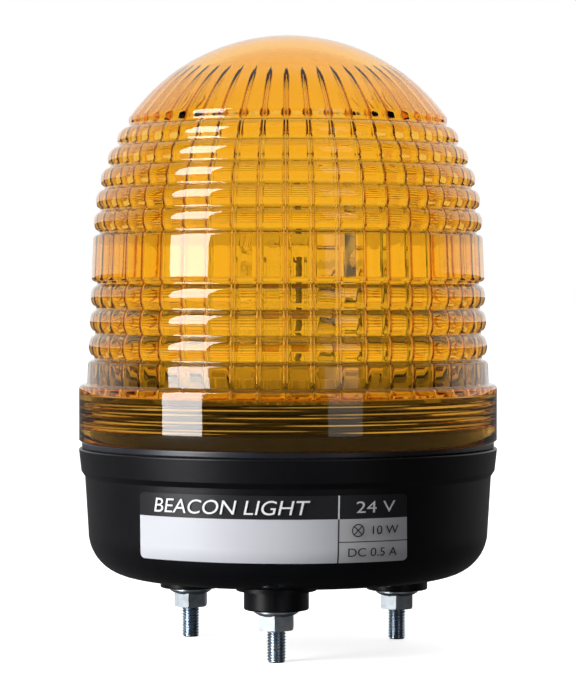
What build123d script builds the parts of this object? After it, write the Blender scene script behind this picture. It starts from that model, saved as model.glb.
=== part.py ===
from build123d import *
import os
from math import acos, asin, cos, degrees, pi, radians, sin, sqrt, tan

# Amber revolving signal beacon that stands on three studs. Millimetres, +Z up the lens axis.
# The origin is on that axis, in the plane of the studs' tips.
# -Y is the front: one stud and the middle of the rating label face that way.

# ---- lens ----
flange_radius = 57.5  # the lens's threaded flange, its widest circle
flange_height = 15.5
flange_wall = 2.5
flange_roof = 2.5  # from the flange's shoulder down to its inner step
flange_lip_round = 1.2
lens_overhang = 4.0  # flange beyond the dome's sphere
lens_wall = 1.8  # behind the bottom of a groove
lens_draft = 2.4  # degrees, below the dome
bead_depth = 1.6
groove_width = 0.8
skirt_band_height = 7.2
low_bead_pitch = 6.8
low_bead_count = 3
tall_band_height = 13.8
band_round = 1.2
high_bead_angle = 6.76  # degrees of the dome's sphere for each upper bead
high_bead_count = 5
dome_centre_rise = 0.8  # the sphere's centre above the tall band

# ---- base ----
boss_height = 6.1
boss_radius = 8.6
boss_pad_radius = 10.6
boss_pad_height = 1.0
base_height = 34.8  # underside of the floor to the ledge under the seal
base_floor = 2.5
base_wall = 2.6
base_bottom_round = 12.0
base_waist = 2.5  # how far the wall's foot stands inside the lens flange
base_shoulder = 1.6  # how far the wall's top stands inside the lens flange
rim_height = 6.2
rim_proud = 0.1  # rim beyond the lens flange
rim_draft = 0.7
rim_undercut = 1.5
rim_edge_round = 0.4
seal_thickness = 2.0
seal_width = 1.7
seal_round = 0.5

# ---- screw thread between lens and base ----
thread_pitch = 2.0
thread_height = 1.2
thread_root_width = 0.9
thread_crest_width = 0.4
thread_clearance = 0.4
thread_length = 8.5
thread_start = 4.2  # first turn above the ledge
thread_bite = 0.3  # how deep a thread's foot sits in its wall
collar_wall = 2.2
collar_height = 13.4

# ---- studs, nuts and cable inlet ----
stud_count = 3
stud_circle_radius = 33.8
stud_first_angle = -90
stud_radius = 2.5
stud_core_radius = 2.3  # where a nut or the boss holds it
stud_reach = 14.0  # below the bosses
stud_chamfer = 0.5
stud_head_flats = 8.0
stud_head_height = 3.5
nut_flats = 8.7
nut_height = 5.4
nut_corner_chamfer = 0.6
nut_flange_radius = 5.9
nut_flange_edge = 0.8
nut_flange_height = 1.7
cable_radius = 3.5
grommet_neck_radius = 5.5
grommet_flange_radius = 8.0
grommet_flange_height = 1.5
grommet_round = 0.6

# ---- rating label ----
label_width = 69.6
label_height = 17.4
label_rise = 8.0  # lower edge above the underside of the floor
label_corner = 1.2
label_thickness = 0.15
label_glue = 0.05

# ---- chassis plate and its screws ----
plate_rise = 7.1  # above the ledge
plate_thickness = 2.5
plate_lip_height = 2.5
plate_lip_width = 1.5
fit_gap = 0.5  # loose fit of large moulded pieces
slip_gap = 0.05  # close fit of small pieces
running_gap = 0.1  # axial and bearing clearance
post_radius = 3.5
post_wall_gap = 1.7
post_rib_width = 1.6
screw_radius = 1.5
screw_head_radius = 2.8
screw_head_height = 2.0
screw_length = 12.0
screw_slot_width = 0.7
screw_slot_depth = 1.0

# ---- gears ----
gear_module = 1.0
gear_teeth = 48
pinion_teeth = 16
tooth_addendum = 0.85  # in modules
tooth_dedendum = 1.25
tooth_backlash = 0.6
pressure_angle = 20
gear_width = 4.5
gear_lift = 0.9  # gear rim above the foot of its hub
gear_rim = 1.25
gear_web = 2.0
gear_hole_radius = 2.6
gear_hole_circle_radius = 18.0

# ---- lamp post and bearing ----
post_tube_radius = 10.0
post_tube_wall = 1.4
post_flange_radius = 14.0
post_flange_height = 1.5
post_below_plate = 4.0
post_above_plate = 13.5
locknut_flats = 26.0
locknut_height = 2.5
washer_radius = 13.0
washer_thickness = 0.4
bush_wall = 1.5
hub_wall = 2.4
hub_height = 8.4
ring_thickness = 0.8
ring_radius = 12.0
ring_groove_depth = 0.5
ring_opening = 40  # degrees

# ---- mirror and bracket ----
light_rise = 42.0  # filament above the chassis plate
mirror_focus = 17.2
mirror_radius = 27.0
mirror_wall = 1.2
mirror_drop = 22.0  # straight lower edge below the filament
carriage_turn = -90  # where the mirror stands at rest, from facing the front
mirror_pad_radius = 5.0
mirror_pad_height = 0.8
bracket_half_width = 5.5
bracket_thickness = 1.0
bracket_foot = 4.8
bracket_top = 7.0  # above the filament
rivet_radius = 1.2
rivet_head_radius = 1.8
rivet_head_height = 0.7
rivet_spread = 3.3
mirror_screw_radius = 1.25
mirror_screw_head_radius = 2.3

# ---- bulb and socket ----
bulb_cap_radius = 7.5
bulb_cap_height = 15.0
bulb_light_above_cap = 21.5
bulb_globe_radius = 12.5
bulb_neck_radius = 6.7
bulb_neck_round = 4.0
bulb_glass_wall = 0.8
bulb_pinch = 1.5
bayonet_pin_radius = 1.0
bayonet_pin_rise = 6.5
solder_radius = 1.5
solder_height = 0.6
filament_length = 6.0
filament_radius = 0.7
filament_pitch = 0.75
filament_wire = 0.16
support_wire = 0.35
socket_wall = 0.6
socket_lip_radius = 9.6
socket_lip_height = 0.8
socket_below_plate = 0.5
bayonet_slot_width = 2.8
contact_spread = 3.2
contact_radius = 1.6
contact_head_height = 1.6
contact_stem_radius = 0.8
contact_stem_gap = 0.1
insulator_thickness = 2.0
insulator_rise = 1.2  # above the socket's lower end
spring_wire_radius = 0.25
spring_radius = 1.25
spring_pitch = 1.0

# ---- motor ----
motor_radius = 12.0
motor_length = 27.0
motor_round = 1.5
motor_pilot_radius = 3.2
motor_pilot_height = 1.8
motor_bore_depth = 14.0
motor_tag_height = 3.0
motor_tag_spread = 4.0
motor_tag_width = 2.0
motor_tag_thickness = 0.6
motor_shaft_radius = 1.0
motor_shaft_gap = 0.06
motor_screw_spread = 8.5
motor_screw_length = 5.5
motor_screw_head_height = 1.6

# ---- circuit board ----
board_width = 56.0
board_depth = 24.0
board_thickness = 1.6
board_rise = 7.0  # above the floor
board_y = -23.0
board_corner = 2.0
board_post_radius = 2.8
board_screw_spread = 25.0
board_screw_radius = 1.25
board_screw_head_radius = 2.3
board_screw_length = 6.0
terminal_width = 15.0
terminal_depth = 9.0
terminal_height = 10.0
terminal_ways = 3
terminal_pitch = 5.0
terminal_entry_radius = 1.4
terminal_entry_rise = 3.2
terminal_entry_depth = 6.0
terminal_x = -13.5
terminal_y = -18.0
terminal_screw_radius = 1.6
terminal_screw_height = 1.2
capacitor_radius = 5.0
capacitor_height = 12.0
capacitor_x = 14.5
capacitor_y = -20.0
fuse_radius = 2.5
fuse_length = 20.0
fuse_cap_length = 5.0
fuse_x = 3.0
fuse_y = -31.0
fuse_rise = 3.6
fuse_clip_thickness = 0.5
fuse_clip_length = 4.0

# ---- wiring ----
wire_radius = 0.75
wire_bend = 5.0
wire_short_bend = 1.7
lamp_wire_spread = 2.5
lamp_wire_y = -14.5
motor_wire_spread = 8.0
motor_wire_y = -14.0
motor_wire_drop = 2.8  # below the board

# ---- heights worked out from them ----
boss_z = stud_reach
nut_z = boss_z - nut_height
base_z = boss_z + boss_height
floor_z = base_z + base_floor
foot_z = base_z + base_bottom_round
ledge_z = base_z + base_height
shoulder_z = ledge_z - rim_height - rim_undercut
collar_top_z = ledge_z + collar_height
flange_z = ledge_z + seal_thickness
flange_top_z = flange_z + flange_height
flange_roof_z = flange_top_z - flange_roof
low_beads_z = flange_top_z + skirt_band_height
tall_band_z = low_beads_z + low_bead_count * low_bead_pitch
high_beads_z = tall_band_z + tall_band_height
dome_z = high_beads_z + dome_centre_rise
plate_z = ledge_z + plate_rise
plate_top_z = plate_z + plate_thickness
washer_z = plate_top_z + post_flange_height
hub_z = washer_z + washer_thickness + running_gap
gear_z = hub_z + gear_lift
web_top_z = gear_z + gear_web
ring_z = hub_z + hub_height + running_gap
post_bottom_z = plate_z - post_below_plate
post_top_z = plate_top_z + post_above_plate
light_z = plate_top_z + light_rise
bulb_cap_top_z = light_z - bulb_light_above_cap
bulb_cap_z = bulb_cap_top_z - bulb_cap_height
socket_z = plate_z - socket_below_plate
insulator_z = socket_z + insulator_rise
contact_top_z = bulb_cap_z - solder_height - slip_gap
contact_head_z = contact_top_z - contact_head_height
board_z = floor_z + board_rise
board_top_z = board_z + board_thickness
motor_z = plate_z - motor_length
tag_z = motor_z - motor_tag_height
motor_wire_z = board_z - motor_wire_drop

# ---- radii worked out from them ----
flange_inner = flange_radius - flange_wall
collar_radius = flange_inner - thread_height - thread_clearance
collar_inner = collar_radius - collar_wall
dome_radius = flange_radius - lens_overhang
lens_depth = bead_depth + lens_wall
wall_foot_radius = flange_radius - base_waist
wall_top_radius = flange_radius - base_shoulder
rim_radius = flange_radius + rim_proud
base_inner = wall_foot_radius - base_wall
plate_radius = collar_inner - fit_gap
screw_circle_radius = collar_inner - post_wall_gap - post_radius
bush_outer = post_tube_radius + running_gap + bush_wall
hub_inner = bush_outer + slip_gap
hub_outer = hub_inner + hub_wall
socket_radius = post_tube_radius - post_tube_wall - slip_gap
socket_inner = socket_radius - socket_wall
gear_radius = gear_module * gear_teeth / 2
pinion_radius = gear_module * pinion_teeth / 2
motor_y = gear_radius + pinion_radius
bracket_y = mirror_focus + mirror_wall + mirror_pad_height
rivet_y = bracket_y + bracket_thickness - bracket_foot / 2 - bracket_thickness / 2

os.makedirs("parts", exist_ok=True)


def write(name, part):
    """Save one finished piece under its own name."""
    part.label = name
    export_step(part, f"parts/{name}.step")


# ---- shapes that several pieces share ----


def circle_edges(part, radius, z):
    """The part's circular edges of this radius at this height."""
    circles = part.edges().filter_by(GeomType.CIRCLE)
    return circles.filter_by(lambda edge: abs(edge.radius - radius) + abs(edge.center().Z - z) < 0.01)


def cylinder(radius, low_z, high_z, x=0.0, y=0.0):
    with BuildPart(mode=Mode.PRIVATE) as body:
        with BuildSketch(Plane.XY.offset(low_z)):
            with Locations((x, y)):
                Circle(radius)
        extrude(amount=high_z - low_z)
    return body.part


def tube(outer, inner, low_z, high_z):
    with BuildPart(mode=Mode.PRIVATE) as body:
        with BuildSketch(Plane.XY.offset(low_z)):
            Circle(outer)
            Circle(inner, mode=Mode.SUBTRACT)
        extrude(amount=high_z - low_z)
    return body.part


def screw(shank_radius, length, head_radius, head_height, x, y, seat_z):
    """A cross-slotted pan-head screw whose head sits on seat_z."""
    with BuildPart(mode=Mode.PRIVATE) as body:
        add(cylinder(shank_radius, seat_z - length, seat_z, x, y))
        add(cylinder(head_radius, seat_z, seat_z + head_height, x, y))
        fillet(body.faces().sort_by(Axis.Z)[-1].edges(), head_height * 0.4)
        with BuildSketch(Plane.XY.offset(seat_z + head_height)):
            with Locations((x, y)):
                Rectangle(head_radius * 1.2, screw_slot_width)
                Rectangle(screw_slot_width, head_radius * 1.2)
        extrude(amount=-screw_slot_depth, mode=Mode.SUBTRACT)
    return body.part


def wire(*points, bends):
    """A round lead along straight runs joined by arcs."""
    with BuildPart(mode=Mode.PRIVATE) as lead:
        with BuildLine() as route:
            FilletPolyline(*points, radius=bends)
        with BuildSketch(Plane(origin=route.line @ 0, z_dir=route.line % 0)):
            Circle(wire_radius)
        sweep(path=route.line)
    return lead.part


def wall_radius(z):
    """Outside radius of the base wall, which widens from its foot to its shoulder."""
    share = (z - foot_z) / (shoulder_z - foot_z)
    return wall_foot_radius + (wall_top_radius - wall_foot_radius) * share


def wall_point(z, depth=0.0):
    """A point of the lens's drafted wall, depth under the surface that its beads touch."""
    return (dome_radius + (dome_z - z) * tan(radians(lens_draft)) - depth, z)


def dome_point(angle, depth=0.0):
    """The same on the lens's dome, at an angle of its sphere above the horizontal."""
    reach = dome_radius - depth
    return (reach * cos(radians(angle)), dome_z + reach * sin(radians(angle)))


def corner_arc(outer, inner):
    """A quarter round from a band's surface into the groove beside it."""
    bulge = sqrt(0.5)
    middle = (inner[0] + (outer[0] - inner[0]) * bulge, outer[1] + (inner[1] - outer[1]) * bulge)
    ThreePointArc(outer, middle, inner)


def thread_ridge(radius, outward, start_z):
    """A right-handed helical ridge on a wall of this radius, facing outward or inward."""
    side = 1 if outward else -1
    crest = thread_crest_width / 2
    flank_slope = (thread_root_width / 2 - crest) / thread_height
    foot = thread_root_width / 2 + flank_slope * thread_bite
    with BuildPart(mode=Mode.PRIVATE) as ridge:
        with BuildLine() as path:
            Helix(thread_pitch, thread_length, radius, center=(0, 0, start_z))
        with BuildSketch(Plane(origin=path.line @ 0, x_dir=(1, 0, 0), z_dir=(0, -1, 0))):
            with BuildLine():
                Polyline(
                    (-side * thread_bite, -foot),
                    (side * thread_height, -crest),
                    (side * thread_height, crest),
                    (-side * thread_bite, foot),
                    close=True,
                )
            make_face()
        sweep(path=path.line, is_frenet=True)
    return ridge.part


def gear_outline(teeth, turn):
    """Corner points of an involute spur gear, turned by an angle in degrees."""
    pitch_r = gear_module * teeth / 2
    base_r = pitch_r * cos(radians(pressure_angle))
    tip_r = pitch_r + tooth_addendum * gear_module
    root_r = pitch_r - tooth_dedendum * gear_module

    def involute(r):
        return sqrt((r / base_r) ** 2 - 1) - acos(base_r / r)

    flank_start = max(base_r, root_r)
    flank = [flank_start, (flank_start + pitch_r) / 2, pitch_r, tip_r]
    half_tooth = pi / (2 * teeth) - tooth_backlash / (4 * pitch_r) + involute(pitch_r)
    tooth = [(r, involute(r) - half_tooth) for r in flank]
    if root_r < base_r:
        tooth.insert(0, (root_r, -half_tooth))
    tooth += [(r, -angle) for r, angle in reversed(tooth)]
    points = []
    for index in range(teeth):
        middle = 2 * pi * index / teeth + radians(turn)
        points += [(r * cos(middle + angle), r * sin(middle + angle)) for r, angle in tooth]
    return points


# ---- base housing ----

with BuildPart() as base_housing:
    with BuildSketch(Plane.XZ):
        with BuildLine():
            Line((0, base_z), (wall_foot_radius - base_bottom_round, base_z))
            CenterArc((wall_foot_radius - base_bottom_round, foot_z), base_bottom_round, -90, 90)
            Polyline(
                (wall_foot_radius, foot_z),
                (wall_top_radius, shoulder_z),
                (rim_radius - rim_draft, shoulder_z + rim_undercut),
                (rim_radius, ledge_z),
                (collar_radius, ledge_z),
                (collar_radius, collar_top_z),
                (collar_inner, collar_top_z),
                (collar_inner, ledge_z - rim_undercut),
                (base_inner, ledge_z - rim_undercut - (base_inner - collar_inner)),
                (base_inner, floor_z + base_bottom_round - base_wall),
            )
            inner_round = base_bottom_round - base_wall
            CenterArc((base_inner - inner_round, floor_z + inner_round), inner_round, 0, -90)
            Polyline((base_inner - inner_round, floor_z), (0, floor_z), (0, base_z))
        make_face()
    revolve(axis=Axis.Z)
    # bosses around the studs, each with a thin pad at its root
    for radius, low_z in ((boss_radius, boss_z), (boss_pad_radius, base_z - boss_pad_height)):
        with BuildSketch(Plane.XY.offset(low_z)):
            with PolarLocations(stud_circle_radius, stud_count, stud_first_angle):
                Circle(radius)
        extrude(amount=base_z + base_floor / 2 - low_z)
    fillet(base_housing.faces().sort_by(Axis.Z)[:stud_count].edges(), rim_edge_round)
    fillet(circle_edges(base_housing, rim_radius, ledge_z), rim_edge_round)
    fillet(circle_edges(base_housing, collar_radius, collar_top_z), rim_edge_round)
    # posts under the chassis plate, braced to the wall, and posts under the circuit board
    with BuildSketch(Plane.XY.offset(floor_z - base_floor / 2)):
        with PolarLocations(screw_circle_radius, stud_count, stud_first_angle):
            Circle(post_radius)
    extrude(amount=plate_z - floor_z + base_floor / 2)
    with BuildSketch(Plane.XY.offset(foot_z)):
        with PolarLocations((screw_circle_radius + base_inner) / 2, stud_count, stud_first_angle):
            Rectangle(base_inner - screw_circle_radius + fit_gap, post_rib_width)
    extrude(amount=ledge_z - rim_height - foot_z)
    with BuildSketch(Plane.XY.offset(floor_z - base_floor / 2)):
        with Locations((-board_screw_spread, board_y), (board_screw_spread, board_y)):
            Circle(board_post_radius)
    extrude(amount=board_rise + base_floor / 2)
    # holes: cable inlet, studs, plate screws and board screws
    with BuildSketch(Plane.XY.offset(boss_z)):
        Circle(grommet_neck_radius + slip_gap)
        with PolarLocations(stud_circle_radius, stud_count, stud_first_angle):
            Circle(stud_core_radius + slip_gap)
    extrude(amount=floor_z - boss_z, mode=Mode.SUBTRACT)
    with BuildSketch(Plane.XY.offset(plate_z)):
        with PolarLocations(screw_circle_radius, stud_count, stud_first_angle):
            Circle(screw_radius + slip_gap)
    extrude(amount=plate_thickness - screw_length - fit_gap, mode=Mode.SUBTRACT)
    with BuildSketch(Plane.XY.offset(board_z)):
        with Locations((-board_screw_spread, board_y), (board_screw_spread, board_y)):
            Circle(board_screw_radius + slip_gap)
    extrude(amount=board_thickness - board_screw_length - fit_gap, mode=Mode.SUBTRACT)
    add(thread_ridge(collar_radius, True, ledge_z + thread_start))
write("base_housing", base_housing.part)

# ---- studs, nuts, cable inlet and label ----

with BuildPart() as mounting_studs:
    with BuildSketch(Plane.XY):
        with PolarLocations(stud_circle_radius, stud_count, stud_first_angle):
            Circle(stud_radius)
    extrude(amount=nut_z)
    chamfer(mounting_studs.faces().sort_by(Axis.Z)[:stud_count].edges(), stud_chamfer)
    with BuildSketch(Plane.XY.offset(nut_z)):
        with PolarLocations(stud_circle_radius, stud_count, stud_first_angle):
            Circle(stud_core_radius)
    extrude(amount=floor_z - nut_z)
    with BuildSketch(Plane.XY.offset(floor_z)):
        with PolarLocations(stud_circle_radius, stud_count, stud_first_angle):
            RegularPolygon(stud_head_flats / 2, 6, major_radius=False)
    extrude(amount=stud_head_height)
write("mounting_studs", mounting_studs.part)

with BuildPart() as flange_nut:
    with BuildSketch(Plane.XY.offset(nut_z)):
        RegularPolygon(nut_flats / 2, 6, major_radius=False)
    extrude(amount=nut_height)
    # the turning cone that takes off the hexagon's lower corners
    with BuildSketch(Plane.XZ):
        with BuildLine():
            nut_corner_radius = nut_flats / sqrt(3)
            Polyline(
                (0, nut_z),
                (nut_corner_radius - nut_corner_chamfer, nut_z),
                (nut_corner_radius + nut_corner_chamfer, nut_z + nut_corner_chamfer),
                (nut_corner_radius + nut_corner_chamfer, boss_z),
                (0, boss_z),
                close=True,
            )
        make_face()
    revolve(axis=Axis.Z, mode=Mode.INTERSECT)
    with BuildSketch(Plane.XZ):
        with BuildLine():
            Polyline(
                (0, boss_z),
                (nut_flange_radius, boss_z),
                (nut_flange_radius, boss_z - nut_flange_edge),
                (nut_flats / 2, boss_z - nut_flange_height),
                (0, boss_z - nut_flange_height),
                close=True,
            )
        make_face()
    revolve(axis=Axis.Z)
    fillet(circle_edges(flange_nut, nut_flange_radius, boss_z - nut_flange_edge), nut_flange_edge / 4)
    with BuildSketch(Plane.XY.offset(nut_z)):
        Circle(stud_core_radius + slip_gap)
    extrude(amount=nut_height, mode=Mode.SUBTRACT)

with BuildPart() as stud_nuts:
    with PolarLocations(stud_circle_radius, stud_count, stud_first_angle):
        add(flange_nut.part)
write("stud_nuts", stud_nuts.part)

with BuildPart() as cable_grommet:
    with BuildSketch(Plane.XZ) as grommet_section:
        with BuildLine():
            Polyline(
                (cable_radius, base_z - grommet_flange_height),
                (grommet_flange_radius, base_z - grommet_flange_height),
                (grommet_flange_radius, base_z),
                (grommet_neck_radius, base_z),
                (grommet_neck_radius, floor_z),
                (grommet_flange_radius, floor_z),
                (grommet_flange_radius, floor_z + grommet_flange_height),
                (cable_radius, floor_z + grommet_flange_height),
                close=True,
            )
        make_face()
        outer_corners = grommet_section.vertices().group_by(Axis.X)[-1].sort_by(Axis.Y)
        fillet([outer_corners[0], outer_corners[-1]], grommet_round)
    revolve(axis=Axis.Z)
write("cable_grommet", cable_grommet.part)

label_z = base_z + label_rise
label_top_z = label_z + label_height
with BuildPart() as rating_label:
    # the sheet follows the wall and, at its lower edge, the start of the wall's round
    with BuildSketch(Plane.XZ):
        with BuildLine():
            inside = label_glue
            outside = label_glue + label_thickness
            fold = degrees(asin((foot_z - label_z) / base_bottom_round))
            round_centre = (wall_foot_radius - base_bottom_round, foot_z)
            top_radius = wall_radius(label_top_z)
            Line((top_radius + inside, label_top_z), (wall_foot_radius + inside, foot_z))
            lower = CenterArc(round_centre, base_bottom_round + inside, 0, -fold)
            upper = CenterArc(round_centre, base_bottom_round + outside, 0, -fold)
            Line(lower @ 1, upper @ 1)
            Line((wall_foot_radius + outside, foot_z), (top_radius + outside, label_top_z))
            Line((top_radius + outside, label_top_z), (top_radius + inside, label_top_z))
        make_face()
    revolve(axis=Axis.Z)
    with BuildSketch(Plane.XZ):
        with Locations((0, (label_z + label_top_z) / 2)):
            RectangleRounded(label_width, label_height, label_corner)
    extrude(amount=flange_radius, mode=Mode.INTERSECT)
write("rating_label", rating_label.part)

# ---- chassis plate, lamp post and their fasteners ----

with BuildPart() as chassis_plate:
    with BuildSketch(Plane.XY.offset(plate_z)):
        Circle(plate_radius)
    extrude(amount=plate_thickness + plate_lip_height)
    with BuildSketch(Plane.XY.offset(plate_top_z)):
        Circle(plate_radius - plate_lip_width)
    extrude(amount=plate_lip_height, mode=Mode.SUBTRACT)
    with BuildSketch(Plane.XY.offset(plate_z)):
        Circle(post_tube_radius + slip_gap)
        with PolarLocations(screw_circle_radius, stud_count, stud_first_angle):
            Circle(screw_radius + slip_gap)
        with Locations((0, motor_y)):
            Circle(motor_pilot_radius + slip_gap)
        with Locations((-motor_screw_spread, motor_y), (motor_screw_spread, motor_y)):
            Circle(screw_radius + slip_gap)
    extrude(amount=plate_thickness, mode=Mode.SUBTRACT)
write("chassis_plate", chassis_plate.part)

with BuildPart() as chassis_screws:
    for index in range(stud_count):
        angle = radians(stud_first_angle + index * 360 / stud_count)
        x = screw_circle_radius * cos(angle)
        y = screw_circle_radius * sin(angle)
        add(screw(screw_radius, screw_length, screw_head_radius, screw_head_height, x, y, plate_top_z))
write("chassis_screws", chassis_screws.part)

with BuildPart() as lamp_post:
    add(cylinder(post_tube_radius, post_bottom_z, post_top_z))
    add(cylinder(post_flange_radius, plate_top_z, washer_z))
    fillet(circle_edges(lamp_post, post_flange_radius, washer_z), rim_edge_round)
    add(tube(post_flange_radius, post_tube_radius - ring_groove_depth, ring_z, ring_z + ring_thickness),
        mode=Mode.SUBTRACT)
    add(cylinder(post_tube_radius - post_tube_wall, post_bottom_z, post_top_z), mode=Mode.SUBTRACT)
write("lamp_post", lamp_post.part)

with BuildPart() as lamp_post_nut:
    with BuildSketch(Plane.XY.offset(plate_z - locknut_height)):
        RegularPolygon(locknut_flats / 2, 6, major_radius=False)
        Circle(post_tube_radius + slip_gap, mode=Mode.SUBTRACT)
    extrude(amount=locknut_height)
    fillet(lamp_post_nut.edges().filter_by(Axis.Z), 1)
write("lamp_post_nut", lamp_post_nut.part)

with BuildPart() as thrust_washer:
    add(tube(washer_radius, post_tube_radius + slip_gap, washer_z, washer_z + washer_thickness))
write("thrust_washer", thrust_washer.part)

with BuildPart() as retaining_ring:
    ring_inner = post_tube_radius - ring_groove_depth + slip_gap
    add(tube(ring_radius, ring_inner, ring_z + slip_gap, ring_z + ring_thickness - slip_gap))
    with BuildSketch(Plane.XY.offset(ring_z)):
        with BuildLine():
            reach = ring_radius / cos(radians(ring_opening / 2)) + 1
            left = (reach * cos(radians(-ring_opening / 2)), reach * sin(radians(-ring_opening / 2)))
            Polyline((0, 0), left, (left[0], -left[1]), close=True)
        make_face()
    extrude(amount=ring_thickness, mode=Mode.SUBTRACT)
write("retaining_ring", retaining_ring.part)

# ---- motor ----

with BuildPart() as drive_motor:
    add(cylinder(motor_radius, motor_z, plate_z, 0, motor_y))
    fillet(drive_motor.edges().filter_by(GeomType.CIRCLE), motor_round)
    add(cylinder(motor_pilot_radius, plate_z, plate_z + motor_pilot_height, 0, motor_y))
    with BuildSketch(Plane.XY.offset(tag_z)):
        with Locations((-motor_tag_spread, motor_y), (motor_tag_spread, motor_y)):
            Rectangle(motor_tag_width, motor_tag_thickness)
    extrude(amount=motor_tag_height + 1)
    bore_top_z = plate_z + motor_pilot_height
    shaft_bore = motor_shaft_radius + motor_shaft_gap
    add(cylinder(shaft_bore, bore_top_z - motor_bore_depth, bore_top_z, 0, motor_y), mode=Mode.SUBTRACT)
    with BuildSketch(Plane.XY.offset(plate_z)):
        with Locations((-motor_screw_spread, motor_y), (motor_screw_spread, motor_y)):
            Circle(screw_radius + slip_gap)
    extrude(amount=plate_thickness - motor_screw_length - fit_gap, mode=Mode.SUBTRACT)
write("drive_motor", drive_motor.part)

with BuildPart() as motor_screws:
    for x in (-motor_screw_spread, motor_screw_spread):
        add(screw(screw_radius, motor_screw_length, screw_head_radius, motor_screw_head_height,
                  x, motor_y, plate_top_z))
write("motor_screws", motor_screws.part)

with BuildPart() as motor_shaft:
    shaft_z = bore_top_z - motor_bore_depth + running_gap
    add(cylinder(motor_shaft_radius, shaft_z, gear_z + gear_width + 1, 0, motor_y))
    chamfer(motor_shaft.faces().sort_by(Axis.Z)[-1].edges(), 0.3)
write("motor_shaft", motor_shaft.part)

with BuildPart() as drive_pinion:
    with BuildSketch(Plane(origin=(0, motor_y, gear_z))):
        with BuildLine():
            half_tooth_turn = 180 / pinion_teeth
            Polyline(*gear_outline(pinion_teeth, half_tooth_turn), close=True)
        make_face()
        Circle(motor_shaft_radius + slip_gap, mode=Mode.SUBTRACT)
    extrude(amount=gear_width)
write("drive_pinion", drive_pinion.part)

# ---- turning carriage: gear, bearing bush, bracket and mirror ----

with BuildPart() as gear_bush:
    add(tube(bush_outer, post_tube_radius + running_gap / 2, hub_z, hub_z + hub_height))
write("gear_bush", gear_bush.part)

with BuildPart() as carriage_gear:
    with BuildSketch(Plane.XY.offset(gear_z)):
        with BuildLine():
            Polyline(*gear_outline(gear_teeth, 0), close=True)
        make_face()
        rim_inner = gear_radius - tooth_dedendum * gear_module - gear_rim
        Circle(rim_inner, mode=Mode.SUBTRACT)
    extrude(amount=gear_width)
    add(tube(rim_inner + gear_rim / 2, hub_inner, gear_z, web_top_z))
    add(tube(hub_outer, hub_inner, hub_z, hub_z + hub_height))
    with BuildSketch(Plane.XY.offset(gear_z)):
        with PolarLocations(gear_hole_circle_radius, 6):
            Circle(gear_hole_radius)
        with Locations((-rivet_spread, rivet_y), (rivet_spread, rivet_y)):
            Circle(rivet_radius + slip_gap)
    extrude(amount=gear_web, mode=Mode.SUBTRACT)
write("carriage_gear", carriage_gear.part.rotate(Axis.Z, carriage_turn))

with BuildPart() as mirror_bracket:
    back_y = bracket_y + bracket_thickness
    with BuildSketch(Plane.YZ.offset(-bracket_half_width)):
        with BuildLine():
            Polyline(
                (back_y - bracket_foot, web_top_z),
                (back_y, web_top_z),
                (back_y, light_z + bracket_top),
                (bracket_y, light_z + bracket_top),
                (bracket_y, web_top_z + bracket_thickness),
                (back_y - bracket_foot, web_top_z + bracket_thickness),
                close=True,
            )
        make_face()
    extrude(amount=2 * bracket_half_width)
    corners = mirror_bracket.edges().filter_by(Axis.Y).group_by(Axis.Z)[-1]
    fillet(corners, bracket_half_width / 2)
    with BuildSketch(Plane.XY.offset(web_top_z)):
        with Locations((-rivet_spread, rivet_y), (rivet_spread, rivet_y)):
            Circle(rivet_radius + slip_gap)
    extrude(amount=bracket_thickness, mode=Mode.SUBTRACT)
    with BuildSketch(Plane.XZ.offset(-back_y)):
        with Locations((0, light_z)):
            Circle(mirror_screw_radius + slip_gap)
    extrude(amount=bracket_thickness, mode=Mode.SUBTRACT)
write("mirror_bracket", mirror_bracket.part.rotate(Axis.Z, carriage_turn))

with BuildPart() as bracket_rivets:
    for x in (-rivet_spread, rivet_spread):
        top_z = web_top_z + bracket_thickness
        add(cylinder(rivet_radius, gear_z, top_z, x, rivet_y))
        add(cylinder(rivet_head_radius, top_z, top_z + rivet_head_height, x, rivet_y))
    fillet(bracket_rivets.faces().sort_by(Axis.Z)[-2:].edges(), rivet_head_height / 2)
write("bracket_rivets", bracket_rivets.part.rotate(Axis.Z, carriage_turn))

mirror_depth = mirror_radius**2 / (4 * mirror_focus)
with BuildPart() as mirror:
    # the dish is a paraboloid about the horizontal line through the filament
    with BuildSketch(Plane.XY.offset(light_z)):
        with BuildLine():
            rim_y = mirror_focus - mirror_depth
            dish = [(mirror_radius * step / 8, mirror_focus - mirror_depth * (step / 8) ** 2) for step in range(9)]
            front = Spline(*dish, tangents=((1, 0), (1, -mirror_radius / (2 * mirror_focus))))
            Line((0, mirror_focus), (0, mirror_focus + mirror_wall))
            back = Spline(*[(x, y + mirror_wall) for x, y in dish],
                          tangents=((1, 0), (1, -mirror_radius / (2 * mirror_focus))))
            Line((mirror_radius, rim_y), (mirror_radius, rim_y + mirror_wall))
        make_face()
    revolve(axis=Axis((0, 0, light_z), (0, 1, 0)))
    with BuildSketch(Plane.XZ.offset(-bracket_y)):
        with Locations((0, light_z)):
            Circle(mirror_pad_radius)
    extrude(amount=mirror_pad_height + mirror_wall / 2)
    with BuildSketch(Plane.XZ.offset(-bracket_y)):
        with Locations((0, light_z)):
            Circle(mirror_screw_radius + slip_gap)
    extrude(amount=mirror_pad_height, mode=Mode.SUBTRACT)
    with BuildSketch(Plane.XY.offset(light_z - mirror_drop)):
        Rectangle(2 * mirror_radius, 4 * mirror_focus)
    extrude(amount=-mirror_radius, mode=Mode.SUBTRACT)
write("mirror", mirror.part.rotate(Axis.Z, carriage_turn))

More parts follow.
